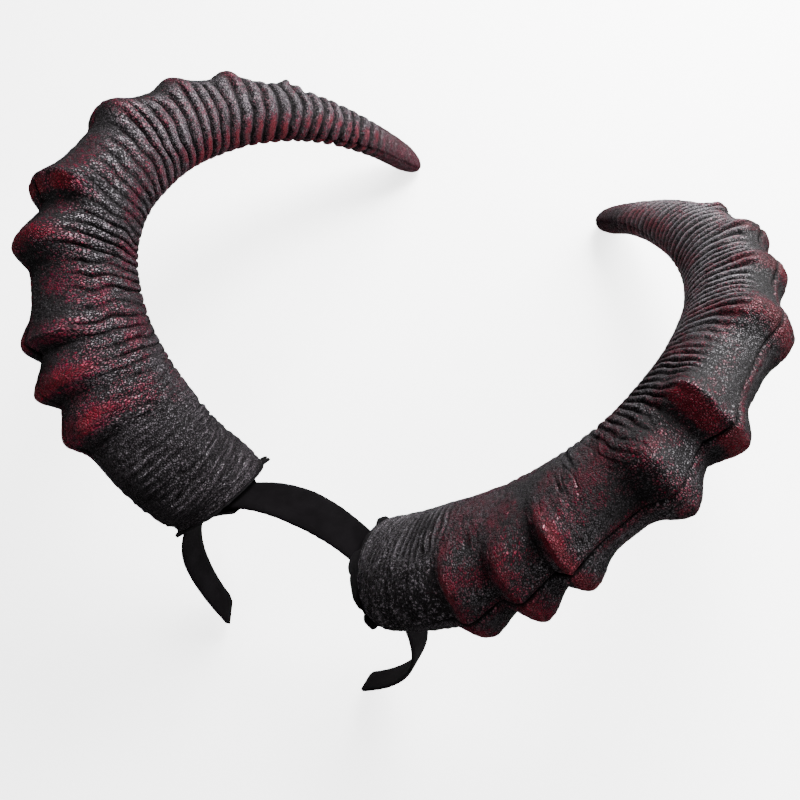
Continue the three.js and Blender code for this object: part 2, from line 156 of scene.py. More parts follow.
# How the skin and paint differ from shell to shell
RIGHT_TONE = {
    "light": 0.66,  # painted highlight: grey on the grain tops, partly also a dry-brushed grey
    "outer": 0.30,  # share of it left past the middle
    "sleeve": -0.9,  # how much of it the sleeve loses, or below 0 gains
    "dim": 0.5,  # how much a stretch loses, where, and how long it is
    "dim_at": 0.415,
    "dim_wide": 0.06,
    "crest_light": 1.25,  # painted highlight: grey on the ring crests
    "ridge": 1.0,  # how far the painted highlight along the rings runs through the grain
    "thin": 2.4,  # how thin they are, and how wide the painted shade between them
    "hollow": 0.75,
    "deep": 2.2,  # rings: depth mm
    "least": 0.3,  # least share of it
    "ribs_from": 0.24,  # where they start, along and round the horn
    "ribs_angle": 1.35,
    "rows": 1.0,  # sleeve rows: strength, and where they start round the horn
    "rows_from": 1.0,
    "tucks": 0.15,  # folds on the sleeve with painted shade in them, and its sparse painted glints
    "sparse": 0.85,
    "spread": 0.40,  # red: all over, on the tip, on the inner side
    "tip_red": 0.55,
    "inner_red": 0.30,
    "grey_ribs": 0.0,  # how far the rings stay grey, and how dark the tip is below
    "tip_dark": 0.8,
}
RIGHT_LOWER_TONE = dict(RIGHT_TONE, light=0.62, ribs_angle=1.25, rows_from=0.2, sparse=0.0, spread=0.24)
LEFT_TONE = {
    "light": 0.36,
    "outer": 1.0,
    "sleeve": -0.25,
    "dim": 0.72,
    "dim_at": 0.33,
    "dim_wide": 0.15,
    "crest_light": 1.15,
    "ridge": 0.1,
    "thin": 1.0,
    "hollow": 1.0,
    "deep": 2.5,
    "least": 0.5,
    "ribs_from": 0.06,
    "ribs_angle": 0.85,
    "rows": 0.4,
    "rows_from": 0.3,
    "tucks": 1.0,
    "sparse": 0.0,
    "spread": 0.36,
    "tip_red": 0.30,
    "inner_red": 0.50,
    "grey_ribs": 0.7,
    "tip_dark": 0.0,
}
LEFT_LOWER_TONE = dict(LEFT_TONE, light=0.38, ribs_angle=1.0, rows_from=0.2, spread=0.24)


def smooth(x):
    k = np.clip(x, 0.0, 1.0)
    return k * k * (3.0 - 2.0 * k)


def unit(v):
    return v / np.maximum(np.linalg.norm(v, axis=-1, keepdims=True), 1e-12)


def settle(points):
    """Worn millimetres to laid-down metres."""
    c, s = math.cos(LEAN), math.sin(LEAN)
    out = np.empty_like(points)
    out[..., 0] = points[..., 0]
    out[..., 1] = points[..., 1] * c + points[..., 2] * s - SHIFT_Y
    out[..., 2] = -points[..., 1] * s + points[..., 2] * c - FLOOR_Z
    return out / 1000.0


class Noise:
    """Smooth value noise on a plane, about -1 to 1."""

    def __init__(self, seed):
        self.table = np.random.default_rng(seed).uniform(-1.0, 1.0, (128, 128))

    def at(self, x, y):
        xi, yi = np.floor(x).astype(int), np.floor(y).astype(int)
        fx, fy = x - xi, y - yi
        fx, fy = fx * fx * (3 - 2 * fx), fy * fy * (3 - 2 * fy)
        x0, y0, x1, y1 = xi % 128, yi % 128, (xi + 1) % 128, (yi + 1) % 128
        t = self.table
        low = t[x0, y0] * (1 - fx) + t[x1, y0] * fx
        high = t[x0, y1] * (1 - fx) + t[x1, y1] * fx
        return low * (1 - fy) + high * fy

    def fbm(self, x, y, octaves=3):
        total, size = 0.0, 1.0
        for i in range(octaves):
            total = total + size * self.at(x * 2 ** i + 17.3 * i, y * 2 ** i + 5.1 * i)
            size *= 0.5
        return total


class Spline:
    """Clamped uniform cubic through control points, with its arc length."""

    def __init__(self, points):
        self.points = np.array(points, float)
        inner = len(points) - 4
        self.knots = np.array([0.0] * 4 + [i / (inner + 1) for i in range(1, inner + 1)] + [1.0] * 4)
        self.ts = np.linspace(0.0, 1.0, 6001)
        line = self.at(self.ts)
        steps = np.linalg.norm(np.diff(line, axis=0), axis=1)
        self.run = np.concatenate([[0.0], np.cumsum(steps)])
        self.length = self.run[-1]

    def basis(self, t, degree):
        t = np.clip(t, 0.0, 1.0 - 1e-12)
        k = self.knots
        rows = [((t >= k[i]) & (t < k[i + 1])).astype(float) for i in range(len(k) - 1)]
        for d in range(1, degree + 1):
            new = []
            for i in range(len(k) - 1 - d):
                part = np.zeros_like(t)
                if k[i + d] > k[i]:
                    part = part + (t - k[i]) / (k[i + d] - k[i]) * rows[i]
                if k[i + d + 1] > k[i + 1]:
                    part = part + (k[i + d + 1] - t) / (k[i + d + 1] - k[i + 1]) * rows[i + 1]
                new.append(part)
            rows = new
        return np.array(rows)

    def at(self, t):
        return np.einsum("i...,ij->...j", self.basis(np.asarray(t, float), 3), self.points)

    def tangent(self, t):
        t = np.asarray(t, float)
        e = 1e-5
        a, b = np.clip(t - e, 0, 1), np.clip(t + e, 0, 1)
        return unit(self.at(b) - self.at(a))

    def share(self, s):
        """Parameter at a share of the arc length."""
        return np.interp(np.asarray(s) * self.length, self.run, self.ts)


half_band = [(o * BAND_SPAN, 0.0, u * BAND_HEIGHT) for o, u in BAND_LINE]
band = Spline([(-x, y, z) for x, y, z in half_band[:0:-1]] + half_band)


def band_normal(t):
    a = band.tangent(t)
    return np.stack([-a[..., 2], 0 * a[..., 0], a[..., 0]], axis=-1)


seat = band.at(HORN_STATION)
seat_up = band_normal(HORN_STATION)
seat_along = band.tangent(HORN_STATION)
cover_under = BAND_THICK / 2 + GAP
rim_height = cover_under + FELT_THICK + GAP
horn_base = seat + seat_up * rim_height
horn = Spline([np.array(row) * HORN_SPAN + horn_base for row in HORN_LINE])


def horn_frame(s):
    t = horn.share(s)
    centre, along = horn.at(t), horn.tangent(t)
    lean = (1 - smooth(s / 0.05))[:, None]
    along = unit(along * (1 - lean) + seat_up * lean)
    turn = np.clip((s - FLANK_TURN_FROM) / (1 - FLANK_TURN_FROM), 0, 1)[:, None]
    flank = FLANK_WAY + FLANK_TURN * turn
    flank = unit(flank - along * np.sum(flank * along, axis=1, keepdims=True))
    return centre, np.cross(along, flank), flank


def girth(s):
    deep = np.interp(s, HORN_GIRTH[:, 0], HORN_GIRTH[:, 1]) * HORN_DEPTH
    wide = np.interp(s, HORN_GIRTH[:, 0], HORN_GIRTH[:, 2]) * HORN_DEPTH
    return deep, wide


def knob_swell(knob, s, wobble):
    """How much of a knob's full height is left at a place, and how far past it that is, mm."""
    x = (s - knob["along"]) * horn.length + wobble
    back = np.exp(-(np.abs(x) / knob["back"]) ** knob["p_back"])
    face = np.clip(1 - np.abs(x) / (1.25 * knob["back"]), 0, 1)
    back = back + (face - back) * knob["crisp"]
    ahead = np.exp(-(np.abs(x) / knob["ahead"]) ** knob["p_ahead"])
    return np.where(x < 0, back, ahead), x


def section(s, angle, knobs, wobble, extra):
    """Depth and width of the section with its knobs, mm."""
    deep, wide = girth(s)
    push_deep, push_wide = np.zeros_like(s), np.zeros_like(s)
    for knob in knobs:
        swell, _ = knob_swell(knob, s, wobble)
        fade = 1 - smooth((angle - knob["hold"]) / (knob["reach"] - knob["hold"]))
        rise = knob["rise"] * swell * fade
        flat = knob["broad"] * swell * deep * (1 - np.cos(angle)) * (1 - smooth((angle - 0.5) / 0.7))
        total = rise + flat
        best = total > push_deep
        push_deep = np.where(best, total, push_deep)
        push_wide = np.where(best, 0.8 * rise * np.sin(angle), push_wide)
    return (deep + extra) * np.cos(angle) + push_deep, (wide + extra) * np.sin(angle) + push_wide


def rib_lines(horn_side):
    """Places of the rings' crests along the horn."""
    rng = np.random.default_rng(11 if horn_side == "right" else 31)
    at, places = RINGS_FROM, []
    while at < RINGS_TO:
        places.append(at)
        pitch = np.interp(at, RING_PLACES, RING_PITCH[horn_side])
        at += pitch * rng.uniform(0.84, 1.16) / horn.length
    return np.array(places)


def mesh_object(name, points, faces, attributes=None, mirror=False):
    """faces is a list of arrays of equal-sized polygons."""
    points = np.array(points, float)
    if mirror:
        points = points * np.array([-1.0, 1.0, 1.0])
        faces = [f[:, ::-1] for f in faces]
    verts = settle(points)
    me = bpy.data.meshes.new(name)
    me.vertices.add(len(verts))
    me.vertices.foreach_set("co", verts.astype(np.float32).ravel())
    loops = np.concatenate([f.ravel() for f in faces])
    sizes = np.concatenate([np.full(len(f), f.shape[1]) for f in faces])
    starts = np.concatenate([[0], np.cumsum(sizes)[:-1]])
    me.loops.add(len(loops))
    me.loops.foreach_set("vertex_index", loops.astype(np.int32))
    me.polygons.add(len(sizes))
    me.polygons.foreach_set("loop_start", starts.astype(np.int32))
    me.update(calc_edges=True)
    me.validate()
    for key, values in (attributes or {}).items():
        a = me.attributes.new(key, "FLOAT", "POINT")
        a.data.foreach_set("value", np.asarray(values, np.float32).ravel())
    me.polygons.foreach_set("use_smooth", np.ones(len(me.polygons), bool))
    ob = bpy.data.objects.new(name, me)
    bpy.context.scene.collection.objects.link(ob)
    return ob


def outward(points, faces):
    """Flips the faces if the closed shape is inside out."""
    volume = 0.0
    for f in faces:
        a = points[f[:, 0]]
        for i in range(1, f.shape[1] - 1):
            volume += np.sum(a * np.cross(points[f[:, i]], points[f[:, i + 1]]))
    return faces if volume > 0 else [f[:, ::-1] for f in faces]


def grid_normals(grid):
    du = np.gradient(grid, axis=0)
    dv = np.gradient(grid, axis=1)
    return unit(np.cross(du, dv))


def horn_shell(name, side, knob_rows, paint, seed, mirror, tone):
    knobs = [dict(zip(KNOB_KEYS, row)) for row in knob_rows]
    rows = 900
    cols = 100
    inner_cols = 8
    noise = [Noise(seed + i) for i in range(8)]
    horn_side = "left" if mirror else "right"
    ribs_at = rib_lines(horn_side)

    # Stations along the horn, closer together over the rounded end
    close = 1 - 0.015 * (1 - np.linspace(0, 0.97, 12)) ** 2
    s1 = np.concatenate([np.linspace(0, 0.985, rows - 12, endpoint=False), close])
    v = np.linspace(0, 1, cols)
    a1 = np.pi * (v - 0.06 * np.sin(2 * np.pi * v))
    s, angle = np.meshgrid(s1, a1, indexing="ij")
    centre, crest, flank = horn_frame(s1)
    deep0, wide0 = girth(s)
    u_mm = s * horn.length
    radius = 0.5 * (deep0 + wide0)
    v_mm = angle * radius

    wobble = 1.1 * noise[0].fbm(u_mm / 26, v_mm / 17, 2) * smooth(angle / 0.35)
    end = np.clip((s - TIP_ROUND_FROM) / (1 - TIP_ROUND_FROM), 0, 1)
    round_ = np.sqrt(np.maximum(1 - end * end, 0))
    deep, wide = section(s, angle, knobs, wobble, 0.0)
    plain = (
        centre[:, None]
        + crest[:, None] * (deep * round_)[..., None]
        + flank[:, None] * (side * (wide * round_ + GAP / 2))[..., None]
    )
    normal = grid_normals(plain)
    if np.sum(normal[rows // 2, cols // 2] * flank[rows // 2]) * side < 0:
        normal = -normal

    # Rings across the horn, wandering and merging, cut by narrow grooves
    shift = np.interp(s, [0.4, 0.6], [0.34, 0.22]) * noise[1].fbm(u_mm / 30, v_mm / 15, 2)
    shift = shift + np.interp(s, [0.4, 0.6], [0.12, 0.04]) * noise[2].at(u_mm / 6, v_mm / 7)
    phase = np.interp(s, ribs_at, np.arange(len(ribs_at))) + shift
    crest_of_rib = 0.5 + 0.5 * np.cos(2 * np.pi * phase)
    rib = 1 - (1 - crest_of_rib) ** np.interp(s, RING_PLACES, RING_FULL[horn_side])
    start = np.interp(s, [0.26, 0.42, 0.55, 0.70, 0.85], [tone["ribs_angle"], 0.75, 0.4, 0.2, 0.05])
    envelope = smooth((s - tone["ribs_from"]) / 0.16) * smooth((0.935 - s) / 0.07)
    envelope = envelope * smooth((angle - start) / 0.5)
    uneven = np.clip(0.8 + 0.6 * noise[3].fbm(u_mm / 11, v_mm / 16, 2), tone["least"], 1.2)
    settled = smooth((s - 0.42) / 0.16)
    envelope = envelope * (uneven * (1 - 0.85 * settled) + 0.85 * settled)

    # Irregular creases, from the sleeve at the base up to where the rings begin
    torn = noise[4].fbm(u_mm / 4.6 + 0.9 * noise[5].at(u_mm / 14, v_mm / 11), v_mm / 30, 2)
    lines = np.exp(-(torn / 0.11) ** 2)
    where = smooth((0.56 - s) / 0.16) * smooth((angle - 0.5) / 0.7)
    where = where * np.clip(0.35 + 1.0 * noise[6].fbm(u_mm / 18, v_mm / 14, 2), 0, 1)
    sleeve = smooth((0.135 - s) / 0.03)
    fine = noise[7].fbm(u_mm / 2.4, v_mm / 20 + 3.0, 2)
    rows_at = u_mm / SLEEVE_ROW_PITCH + 0.30 * noise[5].fbm(u_mm / 12, v_mm / 16, 2)
    row_line = np.cos(2 * np.pi * rows_at) * smooth((0.18 - s) / 0.05)
    row_line = row_line * smooth((angle - tone["rows_from"]) / 0.45)
    row_line = tone["rows"] * row_line * np.clip(0.8 + 0.5 * noise[6].at(u_mm / 12, v_mm / 10), 0.3, 1.2)
    tucks = np.exp(-(noise[6].fbm(u_mm / 8 + 3, v_mm / 42 + 8, 2) / 0.12) ** 2) * smooth((0.17 - s) / 0.05)
    tucks = tone["tucks"] * tucks * np.clip(0.5 + 1.1 * noise[3].at(u_mm / 16 + 5, v_mm / 15), 0, 1)
    tucks = tucks * smooth((s - 0.006) / 0.01)
    creases = lines * where
    sleeve_lines = sleeve * np.clip(fine, -1, 1)
    sleeve_lines = sleeve_lines * np.clip(0.6 + 0.7 * noise[3].at(u_mm / 18, v_mm / 14), 0.1, 1.1)

    # Seam along the crest: a groove with a slight lip; a finer one along the inner side
    to_seam = v_mm
    to_inner = (np.pi - angle) * radius
    groove = np.exp(-(to_seam / SEAM_HALF_WIDTH) ** 2)
    lip = np.exp(-((to_seam - 2.6) / 1.1) ** 2)
    inner_groove = np.exp(-(to_inner / SEAM_HALF_WIDTH) ** 2)

    at_tip = 1 - 0.85 * smooth((s - 0.84) / 0.08)
    pebble = noise[2].fbm(u_mm / 1.7, v_mm / 1.7, 2)
    broad_wave = noise[0].fbm(u_mm / 48 + 9, v_mm / 30 + 4, 2)
    relief = (
        tone["deep"] * np.interp(s, [0.2, 0.52], [0.55, 1.0]) * envelope * (rib - 0.85)
        - 1.3 * creases
        + 0.5 * sleeve_lines
        + 0.4 * row_line
        - 0.8 * tucks
        - 1.0 * groove * at_tip + 0.35 * lip
        - 0.6 * inner_groove
        + 0.2 * pebble
        + 0.35 * broad_wave * smooth(s / 0.05)
    )
    relief = relief * np.minimum(1.0, 0.25 + (1 - s) * 30) * np.minimum(1.0, 0.4 + s * 60)
    # The seam faces stay flat: no relief across the gap between the halves
    outer = plain + normal * relief[..., None]
    keep = flank[:, None] * np.sum((outer - plain) * flank[:, None], axis=-1, keepdims=True)
    near_seam = np.clip(np.minimum(to_seam, to_inner) / 1.2, 0, 1)[..., None]
    outer = outer - keep * (1 - near_seam)

    # Paint masks: red paint, painted shade and painted highlights
    red = np.zeros_like(s)
    shade = np.zeros_like(s)
    edge_highlight = np.zeros_like(s)
    blotch = noise[5].fbm(u_mm / 13, v_mm / 10, 3)
    for knob, (amount, at, half, until) in zip(knobs, paint):
        swell, x = knob_swell(knob, s, wobble)
        fade = 1 - smooth((angle - 0.55 * until) / (0.55 * until))
        reach = half * np.where(x < at, 0.85, 1.35)
        power = np.where(x < at, 2.4 + 3.0 * knob["crisp"], 2.4)
        red = np.maximum(red, amount * np.exp(-np.abs((x - at) / reach) ** power) * fade)
        # Painted shade at the foot of the knob's base-side slope, with a dark painted shadow line along it
        foot_shade = np.exp(-((x + knob["back"] * 1.3) / (knob["back"] * 0.5)) ** 2)
        strength = knob["rise"] / 9.0
        near = 1 - smooth((angle - knob["hold"]) / 1.0)
        line = np.exp(-((x + knob["back"] * 1.25) / 1.1) ** 2) * min(1.0, 1.6 * knob["crisp"])
        shade = np.maximum(shade, np.maximum(0.6 * foot_shade * strength, line) * near)
        # Painted highlight along the knob's crisp top edge
        edge_highlight = np.maximum(edge_highlight, np.exp(-((x - 0.4) / 1.3) ** 2) * knob["crisp"] ** 2 * near)
    red = red * np.clip(0.9 + 0.35 * blotch, 0.25, 1.15)
    spread = smooth((s - 0.115) / 0.06) * smooth((angle - 0.2) / 0.4) * smooth((3.0 - angle) / 0.5)
    spread = spread * (1 - 0.5 * smooth((s - 0.5) / 0.2))
    red = np.maximum(red, spread * np.clip(tone["spread"] * (0.75 + 0.9 * blotch), 0, 0.62))
    along_ribs = envelope * smooth((s - 0.30) / 0.15) * np.clip(0.36 + 0.30 * blotch, 0, 0.7) * crest_of_rib
    along_ribs = 1.25 * along_ribs * (1 - tone["grey_ribs"] * (1 - smooth((angle - 1.7) / 0.5)))
    inner_tint = smooth((angle - 1.7) / 0.7) * smooth((s - 0.45) / 0.15) * tone["inner_red"]
    tip = smooth((s - 0.86) / 0.08) * (1 - tone["tip_dark"] * smooth((angle - 2.0) / 0.5))
    red = np.maximum(red, along_ribs + inner_tint * (0.35 + 0.65 * crest_of_rib))
    red = np.maximum(red, tone["tip_red"] * tip)
    # The red thins under the painted edge highlight
    red = red * (1 - 0.45 * edge_highlight)
    seam_red = np.exp(-((to_seam - 2.2) / 2.4) ** 2) * smooth((s - 0.12) / 0.03) * smooth((0.8 - s) / 0.1)
    # Over the outer half, the upper shell is dark along the crest seam and the lower one red
    seam_red = seam_red * (1.0 if side < 0 else 1 - 0.7 * smooth((s - 0.36) / 0.06))
    red = np.maximum(red, seam_red * np.clip(0.35 + 0.6 * noise[6].fbm(u_mm / 24, v_mm / 30, 2), 0, 0.65))

    # Painted shade: darker in the ring hollows, creases, seam grooves, fine sleeve lines, row hollows and
    # folds
    hollow = envelope * (1 - rib) ** tone["hollow"]
    shade = np.maximum(shade, 0.95 * hollow)
    shade = np.maximum(shade, 0.9 * creases)
    # Painted shade beside the crest seam over the upper shell's outer half
    if side > 0:
        seam_shade = 0.6 * np.exp(-(to_seam / 6.5) ** 2)
        shade = np.maximum(shade, seam_shade * smooth((s - 0.4) / 0.05) * smooth((0.8 - s) / 0.1))
    shade = np.maximum(shade, np.maximum(groove, 0.7 * inner_groove) * at_tip)
    shade = np.maximum(shade, 0.65 * sleeve * smooth(-1.3 * fine))
    shade = np.maximum(shade, np.maximum(0.95 * np.clip(-row_line, 0, 1), 0.92 * tucks))
    # Painted highlight: grey on the grain tops, partly also a dry-brushed grey, with more on the ring and
    # row crests, the crisp knob edges and the tip; ridge carries it unbroken along the crests
    thin = crest_of_rib ** tone["thin"]
    row_highlight = np.clip(row_line, 0, 1)
    ridge = envelope * thin * smooth((s - 0.38) / 0.12) * tone["ridge"] + 0.55 * row_highlight ** 1.5
    # Where the smooth sleeve gets only sparse painted glints
    sparse = tone["sparse"] * smooth((0.17 - s) / 0.04) * (1 - smooth((angle - tone["rows_from"]) / 0.3))
    light = tone["light"] * (0.6 + 0.5 * noise[4].fbm(u_mm / 30 + 7, v_mm / 24 + 2, 2))
    light = light * (1 - tone["dim"] * np.exp(-((s - tone["dim_at"]) / tone["dim_wide"]) ** 2))
    light = light * (1 - (1 - tone["outer"]) * smooth((s - 0.45) / 0.1))
    light = light + tone["crest_light"] * envelope * thin * np.interp(s, [0.28, 0.5], [0.4, 1.0])
    light = light + 0.5 * edge_highlight + 0.35 * tip + 0.7 * row_highlight
    light = light * np.clip(1 - tone["sleeve"] * smooth((0.15 - s) / 0.04), 0, 1)

    # Inner wall, coarser round but with the same stations
    wall_s = s1 * (1 - 1.6 * FOAM_WALL / horn.length)
    ia1 = np.linspace(np.pi, 0, inner_cols)
    si, ai = np.meshgrid(wall_s, ia1, indexing="ij")
    c2, k2, f2 = horn_frame(wall_s)
    d2, w2 = section(si, ai, knobs, np.zeros_like(si), -FOAM_WALL)
    last = 1 - 1.6 * FOAM_WALL / horn.length
    end2 = np.clip((si - TIP_ROUND_FROM) / (last - TIP_ROUND_FROM), 0, 1)
    r2 = np.sqrt(np.maximum(1 - end2 * end2, 0.0))
    inner = (
        c2[:, None] + k2[:, None] * (d2 * r2)[..., None]
        + f2[:, None] * (side * (w2 * r2 + GAP / 2))[..., None]
    )

    ring = cols + inner_cols
    grid = np.concatenate([outer, inner], axis=1).reshape(-1, 3)
    index = np.arange(rows * ring).reshape(rows, ring)
    nxt = np.roll(index, -1, axis=1)
    quads = np.stack([index[:-1], index[1:], nxt[1:], nxt[:-1]], axis=-1).reshape(-1, 4)
    tip_point = horn.at(1.0) + flank[-1] * side * GAP / 2
    points = np.concatenate([grid, tip_point[None]])
    fan = np.stack([index[-1], np.full(ring, len(points) - 1), nxt[-1]], axis=-1)
    faces = outward(points, [quads, fan])
    base = index[:1] if np.array_equal(faces[0], quads) else index[:1, ::-1]
    faces = faces + [base]

    def full(values, inside):
        out = np.empty((rows, ring))
        out[:, :cols] = values
        out[:, cols:] = inside
        return np.concatenate([out.ravel(), [values[-1, 0]]])

    inner_radius = np.maximum(0.5 * (np.add(*girth(si))) - FOAM_WALL, 1.0)
    # The inner wall gets painted shade all over and little painted highlight
    attributes = {
        "red": full(np.clip(red, 0, 1.2), 0.0),
        "shade": full(np.clip(shade, 0, 1), 0.75),
        "light": full(np.clip(light, 0, 2), 0.1),
        "tip": full(tip, 0.0),
        "ridge": full(np.clip(ridge, 0, 1), 0.0),
        "sparse": full(sparse, 0.0),
        "along": full(u_mm / 1000, si * horn.length / 1000),
        "around": full(v_mm / 1000, 0.1 + ai * inner_radius / 1000),
    }
    ob = mesh_object(name, points, faces, attributes, mirror)
    # The shell's cut edges stay crisp
    me = ob.data
    pairs = np.empty(len(me.edges) * 2, np.int32)
    me.edges.foreach_get("vertices", pairs)
    pairs = pairs.reshape(-1, 2)
    column = pairs % ring
    inside = pairs.max(axis=1) < rows * ring
    crisp = inside & (column[:, 0] == column[:, 1]) & np.isin(column[:, 0], [0, cols - 1, cols, ring - 1])
    rim = inside & (pairs.max(axis=1) < ring)
    mark = me.attributes.new("sharp_edge", "BOOLEAN", "EDGE")
    mark.data.foreach_set("value", crisp | rim)
    return ob


# Materials

# How much the skin's grains are stretched round the horn, and how strongly the paint shines
GRAIN_STRETCH = 0.72
SHINE = 0.5


class Nodes:
    """Short way to build a shader tree."""

    def __init__(self, name):
        self.material = bpy.data.materials.new(name)
        self.material.use_nodes = True
        self.tree = self.material.node_tree
        self.tree.nodes.clear()
        self.out = self.add("ShaderNodeOutputMaterial")
        self.bsdf = self.add("ShaderNodeBsdfPrincipled")
        self.link(self.bsdf.outputs["BSDF"], self.out.inputs["Surface"])

    def add(self, kind, **settings):
        node = self.tree.nodes.new(kind)
        for key, value in settings.items():
            setattr(node, key, value)
        return node

    def link(self, a, b):
        self.tree.links.new(a, b)

    def put(self, socket, value):
        if isinstance(value, bpy.types.NodeSocket):
            self.link(value, socket)
        else:
            socket.default_value = value

    def attribute(self, name):
        return self.add("ShaderNodeAttribute", attribute_name=name).outputs["Fac"]

    def math(self, operation, a, b, clamp=False):
        node = self.add("ShaderNodeMath", operation=operation, use_clamp=clamp)
        for socket, value in zip(node.inputs, (a, b)):
            self.put(socket, value)
        return node.outputs[0]

    def ramp(self, value, low, high, to_low=0.0, to_high=1.0):
        node = self.add("ShaderNodeMapRange", interpolation_type="SMOOTHSTEP")
        self.put(node.inputs[0], value)
        for socket, v in zip(list(node.inputs)[1:5], (low, high, to_low, to_high)):
            self.put(socket, v)
        return node.outputs[0]

    def mix(self, factor, a, b):
        node = self.add("ShaderNodeMix", data_type="RGBA")
        self.put(node.inputs["Factor"], factor)
        self.put(node.inputs[6], a)
        self.put(node.inputs[7], b)
        return node.outputs[2]

    def position(self):
        return self.add("ShaderNodeTexCoord").outputs["Object"]

    def noise(self, scale, detail, roughness, vector=None, distortion=0.0):
        node = self.add("ShaderNodeTexNoise")
        self.link(self.position() if vector is None else vector, node.inputs["Vector"])
        node.inputs["Scale"].default_value = scale
        node.inputs["Detail"].default_value = detail
        node.inputs["Roughness"].default_value = roughness
        node.inputs["Distortion"].default_value = distortion
        return node.outputs[0]

    def cells(self, scale, feature, vector):
        node = self.add("ShaderNodeTexVoronoi", feature=feature)
        self.link(vector, node.inputs["Vector"])
        node.inputs["Scale"].default_value = scale
        return node.outputs

    def bump(self, height, strength, distance, normal=None):
        node = self.add("ShaderNodeBump")
        node.inputs["Strength"].default_value = strength
        node.inputs["Distance"].default_value = distance
        self.link(height, node.inputs["Height"])
        if normal is not None:
            self.link(normal, node.inputs["Normal"])
        return node.outputs[0]


def rgb(r, g, b):
    return (r, g, b, 1.0)


